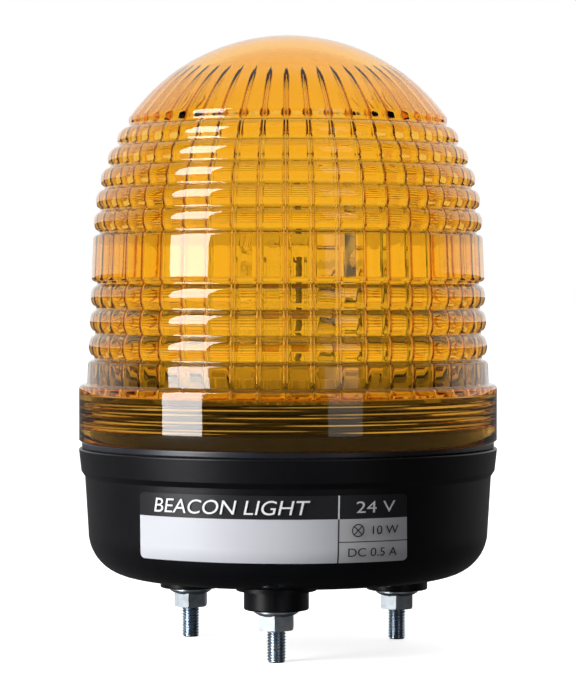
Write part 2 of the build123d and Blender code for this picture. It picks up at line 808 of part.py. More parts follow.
with BuildPart() as mirror_screw:
    with BuildSketch(Plane.XZ.offset(-back_y)):
        with Locations((0, light_z)):
            Circle(mirror_screw_radius)
    extrude(amount=bracket_thickness + mirror_pad_height)
    with BuildSketch(Plane.XZ.offset(-back_y)):
        with Locations((0, light_z)):
            Circle(mirror_screw_head_radius)
    extrude(amount=-rivet_head_height * 2)
    fillet(mirror_screw.faces().sort_by(Axis.Y)[-1].edges(), rivet_head_height / 2)
write("mirror_screw", mirror_screw.part.rotate(Axis.Z, carriage_turn))

# ---- lamp socket and bulb ----

with BuildPart() as lamp_socket:
    add(tube(socket_radius, socket_inner, socket_z, post_top_z + socket_lip_height))
    add(tube(socket_lip_radius, socket_inner, post_top_z, post_top_z + socket_lip_height))
    slot_z = bulb_cap_z + bayonet_pin_rise - bayonet_slot_width / 2
    with BuildSketch(Plane.XY.offset(slot_z)):
        Rectangle(3 * socket_radius, bayonet_slot_width)
    extrude(amount=post_top_z + socket_lip_height - slot_z, mode=Mode.SUBTRACT)
write("lamp_socket", lamp_socket.part)

with BuildPart() as socket_insulator:
    add(cylinder(socket_inner - slip_gap, insulator_z, insulator_z + insulator_thickness))
    with BuildSketch(Plane.XY.offset(insulator_z)):
        with Locations((-contact_spread, 0), (contact_spread, 0)):
            Circle(contact_stem_radius + contact_stem_gap)
    extrude(amount=insulator_thickness, mode=Mode.SUBTRACT)
write("socket_insulator", socket_insulator.part)

spring_z = insulator_z + insulator_thickness
with BuildPart() as socket_contacts:
    for x in (-contact_spread, contact_spread):
        add(cylinder(contact_radius, contact_head_z, contact_top_z, x))
        add(cylinder(contact_stem_radius, insulator_z, contact_head_z, x))
write("socket_contacts", socket_contacts.part)

with BuildPart() as contact_springs:
    spring_height = contact_head_z - spring_z - 2 * (spring_wire_radius + slip_gap)
    for x in (-contact_spread, contact_spread):
        with BuildLine() as coil:
            start_z = spring_z + spring_wire_radius + slip_gap
            Helix(spring_pitch, spring_height, spring_radius, center=(x, 0, start_z))
        with BuildSketch(Plane(origin=coil.line @ 0, z_dir=coil.line % 0)):
            Circle(spring_wire_radius)
        sweep(path=coil.line, is_frenet=True)
write("contact_springs", contact_springs.part)

with BuildPart() as bulb_cap:
    add(cylinder(bulb_cap_radius, bulb_cap_z, bulb_cap_top_z))
    fillet(bulb_cap.faces().sort_by(Axis.Z)[0].edges(), 0.8)
    fillet(bulb_cap.faces().sort_by(Axis.Z)[-1].edges(), 0.4)
    with BuildSketch(Plane.YZ):
        with Locations((0, bulb_cap_z + bayonet_pin_rise)):
            Circle(bayonet_pin_radius)
    extrude(amount=socket_radius - slip_gap, both=True)
    for x in (-contact_spread, contact_spread):
        add(cylinder(solder_radius, bulb_cap_z - solder_height, bulb_cap_z + 1, x))
write("bulb_cap", bulb_cap.part)


def bulb_outline(inset, low_z):
    """Half of the bulb's section: a neck that widens into a globe, inset from the glass's outside."""
    neck = bulb_neck_radius - inset
    globe = bulb_globe_radius - inset
    join = degrees(acos(neck / globe))
    with BuildSketch(Plane.XZ, mode=Mode.PRIVATE) as outline:
        with BuildLine():
            Polyline((0, low_z), (neck, low_z), (neck, light_z - globe * sin(radians(join))))
            CenterArc((0, light_z), globe, -join, 90 + join)
            Line((0, light_z + globe), (0, low_z))
        make_face()
        corner = outline.vertices().sort_by(lambda v: abs(v.X - neck) + abs(v.Y - light_z))[0]
        fillet(corner, bulb_neck_round)
    return outline.sketch


with BuildPart() as bulb_glass:
    revolve(bulb_outline(0, bulb_cap_top_z), axis=Axis.Z)
    revolve(bulb_outline(bulb_glass_wall, bulb_cap_top_z + bulb_pinch), axis=Axis.Z, mode=Mode.SUBTRACT)
write("bulb_glass", bulb_glass.part)

with BuildPart() as bulb_filament:
    for x in (-filament_length / 2, filament_length / 2):
        add(cylinder(support_wire, bulb_cap_top_z + bulb_pinch, light_z + filament_radius, x))
    with BuildLine() as coil:
        Helix(filament_pitch, filament_length, filament_radius,
              center=(-filament_length / 2, 0, light_z), direction=(1, 0, 0))
    with BuildSketch(Plane(origin=coil.line @ 0, z_dir=coil.line % 0)):
        Circle(filament_wire)
    sweep(path=coil.line, is_frenet=True)
write("bulb_filament", bulb_filament.part)

# ---- circuit board and what is on it ----

with BuildPart() as circuit_board:
    with BuildSketch(Plane.XY.offset(board_z)):
        with Locations((0, board_y)):
            RectangleRounded(board_width, board_depth, board_corner)
        with Locations((-board_screw_spread, board_y), (board_screw_spread, board_y)):
            Circle(board_screw_radius + slip_gap, mode=Mode.SUBTRACT)
    extrude(amount=board_thickness)
write("circuit_board", circuit_board.part)

with BuildPart() as board_screws:
    for x in (-board_screw_spread, board_screw_spread):
        add(screw(board_screw_radius, board_screw_length, board_screw_head_radius,
                  motor_screw_head_height, x, board_y, board_top_z))
write("board_screws", board_screws.part)

terminal_top_z = board_top_z + terminal_height
terminal_middle = terminal_pitch * (terminal_ways - 1) / 2
way_offsets = [index * terminal_pitch - terminal_middle for index in range(terminal_ways)]
with BuildPart() as terminal_block:
    with BuildSketch(Plane.XY.offset(board_top_z)):
        with Locations((terminal_x, terminal_y)):
            Rectangle(terminal_width, terminal_depth)
    extrude(amount=terminal_height)
    fillet(terminal_block.edges().filter_by(Axis.X).group_by(Axis.Z)[-1], 1)
    with BuildSketch(Plane.XZ.offset(-terminal_y - terminal_depth / 2)):
        with Locations(*[(terminal_x + way, board_top_z + terminal_entry_rise) for way in way_offsets]):
            Circle(terminal_entry_radius)
    extrude(amount=terminal_entry_depth, mode=Mode.SUBTRACT)
    with BuildSketch(Plane.XY.offset(terminal_top_z)):
        with Locations(*[(terminal_x + way, terminal_y) for way in way_offsets]):
            Circle(terminal_screw_radius + slip_gap)
    extrude(amount=-terminal_screw_height - fit_gap, mode=Mode.SUBTRACT)
write("terminal_block", terminal_block.part)

with BuildPart() as terminal_screws:
    screw_low_z = terminal_top_z - terminal_screw_height - fit_gap
    for way in way_offsets:
        add(cylinder(terminal_screw_radius, screw_low_z, screw_low_z + terminal_screw_height,
                     terminal_x + way, terminal_y))
    with BuildSketch(Plane.XY.offset(screw_low_z + terminal_screw_height)):
        with Locations((terminal_x, terminal_y)):
            Rectangle(terminal_width, screw_slot_width)
    extrude(amount=-terminal_screw_height / 2, mode=Mode.SUBTRACT)
write("terminal_screws", terminal_screws.part)

with BuildPart() as capacitor:
    add(cylinder(capacitor_radius, board_top_z, board_top_z + capacitor_height, capacitor_x, capacitor_y))
    fillet(capacitor.faces().sort_by(Axis.Z)[-1].edges(), 0.8)
write("capacitor", capacitor.part)

fuse_z = board_top_z + fuse_rise
with BuildPart() as fuse_link:
    with BuildSketch(Plane.YZ.offset(fuse_x - fuse_length / 2)):
        with Locations((fuse_y, fuse_z)):
            Circle(fuse_radius)
    extrude(amount=fuse_length)
    fillet(fuse_link.edges().filter_by(GeomType.CIRCLE), 0.4)
write("fuse_link", fuse_link.part)

with BuildPart() as fuse_clips:
    for x in (fuse_x - fuse_length / 2, fuse_x + fuse_length / 2 - fuse_clip_length):
        with BuildSketch(Plane.YZ.offset(x)):
            with Locations((fuse_y, fuse_z)):
                Circle(fuse_radius + slip_gap + fuse_clip_thickness)
                Circle(fuse_radius + slip_gap, mode=Mode.SUBTRACT)
            with Locations((fuse_y, fuse_z + 2 * fuse_radius)):
                Rectangle(2 * fuse_radius, 3 * fuse_radius, mode=Mode.SUBTRACT)
            with Locations((fuse_y, (board_top_z + fuse_z - fuse_radius - slip_gap) / 2)):
                Rectangle(2 * fuse_clip_thickness, fuse_rise - fuse_radius - slip_gap)
        extrude(amount=fuse_clip_length)
write("fuse_clips", fuse_clips.part)

# ---- leads from the board to the socket and to the motor ----

with BuildPart() as lamp_leads:
    for side in (-1, 1):
        board_end = (side * lamp_wire_spread, lamp_wire_y, board_top_z)
        above_board = (side * lamp_wire_spread, lamp_wire_y, board_top_z + 12)
        under_post = (side * contact_spread, 0, post_bottom_z - 8)
        add(wire(board_end, above_board, under_post, (side * contact_spread, 0, insulator_z), bends=wire_bend))
write("lamp_leads", lamp_leads.part)

with BuildPart() as motor_leads:
    for side in (-1, 1):
        tag_end = (side * motor_tag_spread, motor_y, tag_z)
        under_motor = (side * motor_tag_spread, motor_y, motor_wire_z)
        under_board = (side * motor_wire_spread, motor_wire_y, motor_wire_z)
        board_end = (side * motor_wire_spread, motor_wire_y, board_z)
        add(wire(tag_end, under_motor, under_board, board_end, bends=wire_short_bend))
write("motor_leads", motor_leads.part)

# ---- seal and lens ----

with BuildPart() as lens_seal:
    seal_outer = flange_inner + seal_width
    add(tube(seal_outer, flange_inner, ledge_z, flange_z))
    fillet(circle_edges(lens_seal, seal_outer, ledge_z) + circle_edges(lens_seal, seal_outer, flange_z), seal_round)
write("lens_seal", lens_seal.part)

with BuildPart() as lens:
    with BuildSketch(Plane.XZ):
        with BuildLine():
            half_groove = groove_width / 2
            half_groove_angle = degrees(half_groove / dome_radius)
            # flange
            Polyline(
                (flange_inner, flange_roof_z),
                (flange_inner, flange_z),
                (flange_radius, flange_z),
                (flange_radius, flange_top_z - flange_lip_round),
            )
            CenterArc((flange_radius - flange_lip_round, flange_top_z - flange_lip_round), flange_lip_round, 0, 90)
            Line((flange_radius - flange_lip_round, flange_top_z), wall_point(flange_top_z))
            # smooth band above the flange
            skirt_top = wall_point(low_beads_z - half_groove - band_round)
            Line(wall_point(flange_top_z), skirt_top)
            corner_arc(skirt_top, wall_point(low_beads_z - half_groove, bead_depth))
            Line(wall_point(low_beads_z - half_groove, bead_depth), wall_point(low_beads_z + half_groove, bead_depth))
            # lower beads, each with a groove above it
            for index in range(low_bead_count):
                low = low_beads_z + index * low_bead_pitch + half_groove
                high = low + low_bead_pitch - groove_width
                ThreePointArc(wall_point(low, bead_depth), wall_point((low + high) / 2), wall_point(high, bead_depth))
                Line(wall_point(high, bead_depth), wall_point(high + groove_width, bead_depth))
            # tall smooth band
            band_low = wall_point(tall_band_z + half_groove + band_round)
            band_high = wall_point(high_beads_z - half_groove - band_round)
            corner_arc(band_low, wall_point(tall_band_z + half_groove, bead_depth))
            Line(band_low, band_high)
            corner_arc(band_high, wall_point(high_beads_z - half_groove, bead_depth))
            # upper beads round the dome
            first = degrees(asin((high_beads_z - dome_z) / dome_radius))
            Line(
                wall_point(high_beads_z - half_groove, bead_depth),
                dome_point(first + half_groove_angle, bead_depth),
            )
            for index in range(high_bead_count):
                low = first + index * high_bead_angle + half_groove_angle
                high = low + high_bead_angle - 2 * half_groove_angle
                ThreePointArc(dome_point(low, bead_depth), dome_point((low + high) / 2), dome_point(high, bead_depth))
                Line(dome_point(high, bead_depth), dome_point(high + 2 * half_groove_angle, bead_depth))
            # smooth cap, then the inside
            cap = high + 2 * half_groove_angle
            cap_edge = cap + degrees(band_round / dome_radius)
            corner_arc(dome_point(cap_edge), dome_point(cap, bead_depth))
            CenterArc((0, dome_z), dome_radius, cap_edge, 90 - cap_edge)
            Line((0, dome_z + dome_radius), (0, dome_z + dome_radius - lens_depth))
            CenterArc((0, dome_z), dome_radius - lens_depth, 90, -90)
            Line((dome_radius - lens_depth, dome_z), wall_point(flange_roof_z, lens_depth))
            Line(wall_point(flange_roof_z, lens_depth), (flange_inner, flange_roof_z))
        make_face()
    revolve(axis=Axis.Z)
    add(thread_ridge(flange_inner, False, ledge_z + thread_start + thread_pitch / 2))
write("lens", lens.part)
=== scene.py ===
import math

import bmesh
import bpy
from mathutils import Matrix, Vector


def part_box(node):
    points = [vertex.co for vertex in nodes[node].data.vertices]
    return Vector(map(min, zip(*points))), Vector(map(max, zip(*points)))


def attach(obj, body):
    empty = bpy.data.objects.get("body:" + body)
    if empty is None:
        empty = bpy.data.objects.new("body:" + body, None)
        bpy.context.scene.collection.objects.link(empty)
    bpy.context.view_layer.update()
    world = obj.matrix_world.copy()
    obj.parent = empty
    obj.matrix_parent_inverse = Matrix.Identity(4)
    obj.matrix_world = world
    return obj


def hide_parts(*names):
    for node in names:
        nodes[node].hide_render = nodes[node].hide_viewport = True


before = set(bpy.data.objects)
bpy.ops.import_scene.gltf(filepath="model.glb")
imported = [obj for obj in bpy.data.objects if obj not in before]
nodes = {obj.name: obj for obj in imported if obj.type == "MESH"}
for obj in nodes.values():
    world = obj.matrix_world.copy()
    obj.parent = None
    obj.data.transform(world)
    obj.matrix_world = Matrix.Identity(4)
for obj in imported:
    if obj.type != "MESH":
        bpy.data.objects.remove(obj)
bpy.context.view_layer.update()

MM = 0.001

# Sizes that the frame's own nodes give.
LENS_LOW, LENS_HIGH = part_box("lens")
FLANGE_R = (LENS_HIGH[0] - LENS_LOW[0]) / 2
FLANGE_Z = LENS_LOW[2]
TOP_Z = LENS_HIGH[2]

# Lens moulding, in metres: the flange, then smooth bands and rounded beads, then the dome.
FLANGE_H = 15.5 * MM
FLANGE_WALL = 2.5 * MM
DOME_R = FLANGE_R - 4.0 * MM
DOME_Z = TOP_Z - DOME_R
DRAFT = math.tan(math.radians(2.4))
BEAD_DEPTH = 1.6 * MM
GROOVE = 0.8 * MM
BAND_ROUND = 1.2 * MM
SKIRT_BAND_H = 7.2 * MM
LOW_BEAD = 6.8 * MM
TALL_BAND_H = 13.8 * MM
HIGH_BEAD_DEG = 6.76
LENS_DEPTH = 3.4 * MM
FLUTE_COUNT = 48
FLUTE_DEPTH = 1.2 * MM
FLUTE_TURN = 0.4  # share of a flute that the valleys stand turned from +X
CAP_ROUND = 1.5 * BAND_ROUND  # the edge between the cap and its highest groove
CAP_STEP = 0.8 * BEAD_DEPTH

# The thread inside the flange, facing the thread of the base's collar.
THREAD_PITCH = 2.0 * MM
THREAD_DEPTH = 1.2 * MM
THREAD_START = FLANGE_Z + 3.2 * MM
THREAD_LENGTH = 8.5 * MM

# Studs under the base.
STUD_R = 2.5 * MM
STUD_PITCH = 0.8 * MM
STUD_THREAD_DEPTH = 0.45 * MM
STUD_CIRCLE = 33.8 * MM
STUD_HEAD_H = 3.5 * MM
STUD_HEAD_R = 4.6 * MM
STUD_HEAD_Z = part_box("mounting_studs")[1][2] - STUD_HEAD_H


# ---- shader groups shared by several finishes ----


def new_group(name, inputs, outputs):
    """An empty shader group with float inputs at their defaults, and its outputs."""
    tree = bpy.data.node_groups.new(name, "ShaderNodeTree")
    for label, value in inputs.items():
        tree.interface.new_socket(label, in_out="INPUT", socket_type="NodeSocketFloat").default_value = value
    for label in outputs:
        tree.interface.new_socket(label, in_out="OUTPUT", socket_type="NodeSocketFloat")
    return tree, tree.nodes.new("NodeGroupInput"), tree.nodes.new("NodeGroupOutput")


def math_node(tree, operation, first, second=None, third=None):
    """A math node fed by sockets or numbers, returned as its output socket."""
    node = tree.nodes.new("ShaderNodeMath")
    node.operation = operation
    for socket, value in zip(node.inputs, (first, second, third)):
        if value is None:
            continue
        if hasattr(value, "is_output"):
            tree.links.new(value, socket)
        else:
            socket.default_value = value
    return node.outputs[0]


def noise_node(tree, scale, detail=2.0, stretch=(1, 1, 1)):
    coords = tree.nodes.new("ShaderNodeTexCoord")
    mapping = tree.nodes.new("ShaderNodeMapping")
    noise = tree.nodes.new("ShaderNodeTexNoise")
    mapping.inputs["Scale"].default_value = stretch
    noise.inputs["Detail"].default_value = detail
    tree.links.new(coords.outputs["Object"], mapping.inputs["Vector"])
    tree.links.new(mapping.outputs["Vector"], noise.inputs["Vector"])
    if hasattr(scale, "is_output"):
        tree.links.new(scale, noise.inputs["Scale"])
    else:
        noise.inputs["Scale"].default_value = scale
    return noise.outputs["Fac"]


def build_grain():
    """Moulded or cast grain: a fine height, and slow patches that change the gloss."""
    inputs = {"Grain Scale": 2500.0, "Gloss": 0.4, "Gloss Change": 0.1}
    tree, given, result = new_group("surface_grain", inputs, ("Height", "Roughness"))
    fine = noise_node(tree, given.outputs["Grain Scale"], 3.0)
    patch = noise_node(tree, 60.0, 4.0)
    swing = math_node(tree, "MULTIPLY_ADD", patch, 2.0, -1.0)
    rough = math_node(tree, "MULTIPLY_ADD", swing, given.outputs["Gloss Change"], given.outputs["Gloss"])
    tree.links.new(fine, result.inputs["Height"])
    tree.links.new(rough, result.inputs["Roughness"])
    return tree


def build_edge_wear_and_sheen():
    """A mask that is 1 on outside edges and 0 on open faces: rubbed plating on the zinc, and a painted edge
    sheen (painted highlight) on the black moulding.
    """
    tree, given, result = new_group("edge_wear_and_sheen", {"Start": 0.53, "End": 0.62}, ("Mask",))
    geometry = tree.nodes.new("ShaderNodeNewGeometry")
    span = tree.nodes.new("ShaderNodeMapRange")
    tree.links.new(geometry.outputs["Pointiness"], span.inputs["Value"])
    tree.links.new(given.outputs["Start"], span.inputs["From Min"])
    tree.links.new(given.outputs["End"], span.inputs["From Max"])
    broken = noise_node(tree, 900.0, 3.0)
    tree.links.new(math_node(tree, "MULTIPLY", span.outputs["Result"], broken), result.inputs["Mask"])
    return tree


def build_mottle():
    """Slow cloudy patches for plated, cast and rubbed surfaces."""
    tree, given, result = new_group("cloudy_patches", {"Patch Scale": 300.0, "Contrast": 1.0}, ("Mask",))
    cloud = noise_node(tree, given.outputs["Patch Scale"], 5.0)
    centred = math_node(tree, "SUBTRACT", cloud, 0.5)
    spread = math_node(tree, "MULTIPLY_ADD", centred, given.outputs["Contrast"], 0.5)
    tree.links.new(spread, result.inputs["Mask"])
    return tree


GRAIN = build_grain()
EDGE_WEAR_AND_SHEEN = build_edge_wear_and_sheen()
MOTTLE = build_mottle()


def place_group(material, group, **values):
    node = material.node_tree.nodes.new("ShaderNodeGroup")
    node.node_tree = group
    for label, value in values.items():
        node.inputs[label.replace("_", " ")].default_value = value
    return node


def blend_colours(material, mask, first, second):
    mix = material.node_tree.nodes.new("ShaderNodeMix")
    mix.data_type = "RGBA"
    material.node_tree.links.new(mask, mix.inputs[0])
    for socket, colour in ((mix.inputs[6], first), (mix.inputs[7], second)):
        if hasattr(colour, "is_output"):
            material.node_tree.links.new(colour, socket)
        else:
            socket.default_value = (*colour, 1)
    return mix.outputs[2]


def finish_material(name, dark, light, metallic=0.0, roughness=0.4, change=0.08, grain=2500.0, bump=0.02,
                    patches=250.0, wear_and_sheen_colour=None, coat=0.0,
                    specular=0.5):
    """An opaque finish: two near colours in patches, grain, and a lighter colour on outside edges where the
    piece has one: rubbed plating on the zinc, a painted edge sheen (painted highlight) on the black moulding.
    """
    material = bpy.data.materials.new(name)
    material.use_nodes = True
    links = material.node_tree.links
    shader = material.node_tree.nodes["Principled BSDF"]
    shader.inputs["Metallic"].default_value = metallic
    shader.inputs["Coat Weight"].default_value = coat
    shader.inputs["Specular IOR Level"].default_value = specular
    surface = place_group(material, GRAIN, Grain_Scale=grain, Gloss=roughness, Gloss_Change=change)
    cloud = place_group(material, MOTTLE, Patch_Scale=patches, Contrast=1.6)
    colour = blend_colours(material, cloud.outputs["Mask"], dark, light)
    if wear_and_sheen_colour is not None:
        wear_and_sheen_node = place_group(material, EDGE_WEAR_AND_SHEEN)
        colour = blend_colours(material, wear_and_sheen_node.outputs["Mask"], colour, wear_and_sheen_colour)
    links.new(colour, shader.inputs["Base Color"])
    links.new(surface.outputs["Roughness"], shader.inputs["Roughness"])
    ripple = material.node_tree.nodes.new("ShaderNodeBump")
    ripple.inputs["Strength"].default_value = 0.5
    ripple.inputs["Distance"].default_value = bump * MM
    links.new(surface.outputs["Height"], ripple.inputs["Height"])
    links.new(ripple.outputs["Normal"], shader.inputs["Normal"])
    return material


def clear_material(name, tint, roughness, ior, density=0.0, depth_colour=(1, 1, 1)):
    """A clear finish: tinted surface, fine moulding ripple, and colour that deepens with thickness."""
    material = bpy.data.materials.new(name)
    material.use_nodes = True
    nodes_, links = material.node_tree.nodes, material.node_tree.links
    shader = nodes_["Principled BSDF"]
    shader.inputs["Transmission Weight"].default_value = 1.0
    shader.inputs["IOR"].default_value = ior
    surface = place_group(material, GRAIN, Grain_Scale=700.0, Gloss=roughness, Gloss_Change=roughness / 3)
    cloud = place_group(material, MOTTLE, Patch_Scale=30.0, Contrast=0.6)
    paler = tuple(min(1.0, channel * 1.03 + 0.01) for channel in tint)
    links.new(blend_colours(material, cloud.outputs["Mask"], tint, paler), shader.inputs["Base Color"])
    links.new(surface.outputs["Roughness"], shader.inputs["Roughness"])
    ripple = nodes_.new("ShaderNodeBump")
    ripple.inputs["Strength"].default_value = 0.15
    ripple.inputs["Distance"].default_value = 0.02 * MM
    links.new(surface.outputs["Height"], ripple.inputs["Height"])
    links.new(ripple.outputs["Normal"], shader.inputs["Normal"])
    if density:
        depth = nodes_.new("ShaderNodeVolumeAbsorption")
        depth.inputs["Color"].default_value = (*depth_colour, 1)
        depth.inputs["Density"].default_value = density
        links.new(depth.outputs[0], nodes_["Material Output"].inputs["Volume"])
    return material


def paint_flange_shade(material):
    """Painted shade: a deeper tint below the dome, standing in for the darkness of the black collar seen
    through the flange. It is set by height in the scene, so it does not rise with the lens.
    """
    tree = material.node_tree
    base = tree.nodes["Principled BSDF"].inputs["Base Color"]
    plain = base.links[0].from_socket
    split = tree.nodes.new("ShaderNodeSeparateXYZ")
    tree.links.new(tree.nodes.new("ShaderNodeNewGeometry").outputs["Position"], split.inputs[0])
    # Painted shade: below the flange's top the colour turns a deeper amber, standing in for the dark collar
    # behind it.
    low = math_node(tree, "LESS_THAN", split.outputs[2], FLANGE_Z + FLANGE_H - 1.0 * MM)
    tree.links.new(blend_colours(material, low, plain, (0.62, 0.44, 0.08)), base)


# The black moulding's lighter edge colour is a painted highlight, an edge sheen.
black_plastic = finish_material("black_moulding", (0.002, 0.002, 0.003), (0.004, 0.004, 0.006),
                                roughness=0.34, change=0.06, grain=1700.0, bump=0.05,
                                wear_and_sheen_colour=(0.02, 0.02, 0.024), specular=0.28)
amber = clear_material("amber_lens", (1.0, 0.76, 0.16), 0.015, 1.49, 105.0, (1.0, 0.60, 0.02))
paint_flange_shade(amber)
seal_rubber = finish_material("seal_rubber", (0.008, 0.009, 0.013), (0.018, 0.02, 0.028),
                              roughness=0.32, bump=0.03)
zinc = finish_material("zinc_plating", (0.36, 0.41, 0.45), (0.62, 0.67, 0.71),
                       metallic=1.0, roughness=0.34, change=0.12, grain=1200.0, patches=500.0,
                       wear_and_sheen_colour=(0.8, 0.84, 0.87))
stud_zinc = finish_material("blue_zinc_thread", (0.28, 0.36, 0.45), (0.55, 0.64, 0.74),
                            metallic=1.0, roughness=0.26, change=0.1, patches=700.0, wear_and_sheen_colour=(0.85, 0.9, 0.95))
grey_plastic = finish_material("grey_moulding", (0.26, 0.27, 0.28), (0.34, 0.35, 0.36),
                               roughness=0.42, bump=0.04)
white_nylon = finish_material("white_nylon", (0.68, 0.66, 0.6), (0.8, 0.78, 0.72), roughness=0.38, bump=0.03)
board_green = finish_material("solder_resist", (0.01, 0.12, 0.045), (0.02, 0.19, 0.07),
                              roughness=0.25, coat=0.4)
terminal_green = finish_material("terminal_moulding", (0.03, 0.26, 0.09), (0.05, 0.36, 0.13), roughness=0.42)
capacitor_blue = finish_material("capacitor_sleeve", (0.01, 0.02, 0.09), (0.02, 0.035, 0.14), roughness=0.22)
wire_red = finish_material("red_insulation", (0.38, 0.012, 0.01), (0.5, 0.02, 0.015), roughness=0.33)
wire_black = finish_material("black_insulation", (0.01, 0.01, 0.01), (0.02, 0.02, 0.02), roughness=0.35)
motor_steel = finish_material("motor_can", (0.33, 0.33, 0.34), (0.48, 0.48, 0.5), metallic=1.0, roughness=0.3)
spring_steel = finish_material("spring_steel", (0.3, 0.31, 0.33), (0.45, 0.46, 0.48),
                               metallic=1.0, roughness=0.25)
brass = finish_material("turned_brass", (0.55, 0.37, 0.13), (0.75, 0.55, 0.25), metallic=1.0, roughness=0.25)
aluminium = finish_material("aluminium", (0.6, 0.61, 0.63), (0.74, 0.75, 0.77), metallic=1.0, roughness=0.3)
mirror_metal = finish_material("mirror_metal", (0.86, 0.87, 0.88), (0.93, 0.94, 0.95),
                               metallic=1.0, roughness=0.04, change=0.02, bump=0.004)
tungsten = finish_material("tungsten_wire", (0.16, 0.16, 0.17), (0.26, 0.26, 0.27),
                           metallic=1.0, roughness=0.4)
clear_glass = clear_material("clear_glass", (0.97, 0.985, 0.99), 0.01, 1.5)

FINISHES = {
    black_plastic: ("base_housing",),
    seal_rubber: ("lens_seal", "cable_grommet"),
    zinc: ("mounting_studs", "stud_nuts", "chassis_screws", "motor_screws", "board_screws", "terminal_screws",
           "mirror_bracket", "mirror_screw"),
    grey_plastic: ("chassis_plate",),
    white_nylon: ("socket_insulator", "carriage_gear", "drive_pinion"),
    board_green: ("circuit_board",),
    terminal_green: ("terminal_block",),
    capacitor_blue: ("capacitor",),
    wire_red: ("lamp_leads",),
    wire_black: ("motor_leads",),
    motor_steel: ("drive_motor",),
    spring_steel: ("thrust_washer", "retaining_ring", "contact_springs", "fuse_clips", "motor_shaft"),
    brass: ("lamp_post_nut", "lamp_socket", "socket_contacts", "bulb_cap", "gear_bush"),
    aluminium: ("lamp_post", "bracket_rivets"),
    mirror_metal: ("mirror",),
    tungsten: ("bulb_filament",),
    clear_glass: ("bulb_glass", "fuse_link"),
}
for material, names in FINISHES.items():
    for name in names:
        for slot in nodes[name].material_slots:
            slot.material = material


# ---- mesh helpers ----


def make_object(name, verts, faces, material, smooth=True):
    mesh = bpy.data.meshes.new(name)
    mesh.from_pydata([tuple(v) for v in verts], [], faces)
    mesh.materials.append(material)
    if smooth:
        mesh.shade_smooth()
    mesh.validate()
    piece = bpy.data.objects.new(name, mesh)
    bpy.context.scene.collection.objects.link(piece)
    return piece


def grid_faces(rows, columns, start, flip):
    """Quads between rows of points that each go once round the axis."""
    faces = []
    for row in range(rows - 1):
        for column in range(columns):
            a = start + row * columns + column
            b = start + row * columns + (column + 1) % columns
            quad = (a, b, b + columns, a + columns)
            faces.append(quad[::-1] if flip else quad)
    return faces


# ---- lens ----


def wall_r(z, depth=0.0):
    """Radius of the lens's drafted wall, depth under the surface that the beads touch."""
    return DOME_R + (DOME_Z - z) * DRAFT - depth


def dome_at(angle, depth=0.0):
    reach = DOME_R - depth
    return (reach * math.cos(math.radians(angle)), DOME_Z + reach * math.sin(math.radians(angle)))


def bow(t):
    """Height of a shallow bead at a share t of its width, from 0 at its feet to 1 at its crest."""
    return math.sqrt(max(0.0, 1 - (2 * t - 1) ** 2)) ** 1.1


def lens_outline():
    """Outside of the lens from the flange's lower edge to the top, as (radius, height) points."""
    half = GROOVE / 2
    flange_top = FLANGE_Z + FLANGE_H
    low_beads = flange_top + SKIRT_BAND_H
    tall_band = low_beads + 3 * LOW_BEAD
    high_beads = tall_band + TALL_BAND_H
    points = [(FLANGE_R - 0.3 * MM, FLANGE_Z), (FLANGE_R, FLANGE_Z + 0.3 * MM)]
    points += [(FLANGE_R, FLANGE_Z + FLANGE_H * share) for share in (0.25, 0.5, 0.75)]
    lip = 1.2 * MM
    for step in range(7):
        turn = math.radians(15 * step)
        points.append((FLANGE_R - lip + lip * math.cos(turn), flange_top - lip + lip * math.sin(turn)))
    foot = 0.5 * MM
    points.append((wall_r(flange_top) + foot, flange_top))
    points.append((wall_r(flange_top) + 0.1 * MM, flange_top + 0.2 * MM))
    points.append((wall_r(flange_top + foot), flange_top + foot))

    def band_edge(z_band, z_groove):
        """A quarter round between a band's surface and the groove beside it."""
        rounded = []
        for step in range(7):
            turn = math.radians(15 * step)
            z = z_band + (z_groove - z_band) * math.sin(turn)
            rounded.append((wall_r(z, BEAD_DEPTH * (1 - math.cos(turn))), z))
        return rounded

    points += band_edge(low_beads - half - BAND_ROUND, low_beads - half)
    for index in range(3):
        low = low_beads + index * LOW_BEAD + half
        width = LOW_BEAD - GROOVE
        for step in range(12):
            z = low + width * step / 11
            points.append((wall_r(z, BEAD_DEPTH * (1 - bow(step / 11))), z))
    points += band_edge(tall_band + half + BAND_ROUND, tall_band + half)[::-1]
    for share in (0.3, 0.5, 0.7):
        z = tall_band + TALL_BAND_H * share
        points.append((wall_r(z), z))
    points += band_edge(high_beads - half - BAND_ROUND, high_beads - half)
    first = math.degrees(math.asin((high_beads - DOME_Z) / DOME_R))
    half_angle = math.degrees(half / DOME_R)
    for index in range(5):
        low = first + index * HIGH_BEAD_DEG + half_angle
        width = HIGH_BEAD_DEG - 2 * half_angle
        for step in range(12):
            points.append(dome_at(low + width * step / 11, BEAD_DEPTH * (1 - bow(step / 11))))
    cap = first + 5 * HIGH_BEAD_DEG + half_angle
    edge = math.degrees(CAP_ROUND / DOME_R)
    for step in range(7):
        turn = math.radians(15 * step)
        points.append(dome_at(cap + edge * step / 6, CAP_STEP * (1 - math.sin(turn))))
    steps = 16
    points += [dome_at(cap + edge + (89.5 - cap - edge) * step / steps) for step in range(1, steps + 1)]
    return points


FLUTE_SHARES = (0.0, 0.05, 0.12, 0.3, 0.5, 0.7, 0.88, 0.95)


def flute(column):
    """Depth of the inner vertical flutes at a column: narrow valleys between broad, slightly round ribs."""
    share = FLUTE_SHARES[column % len(FLUTE_SHARES)]
    off = min(share, 1 - share)
    return max(0.0, 1 - off / 0.11) + 0.12 * (1 - 2 * off) ** 2


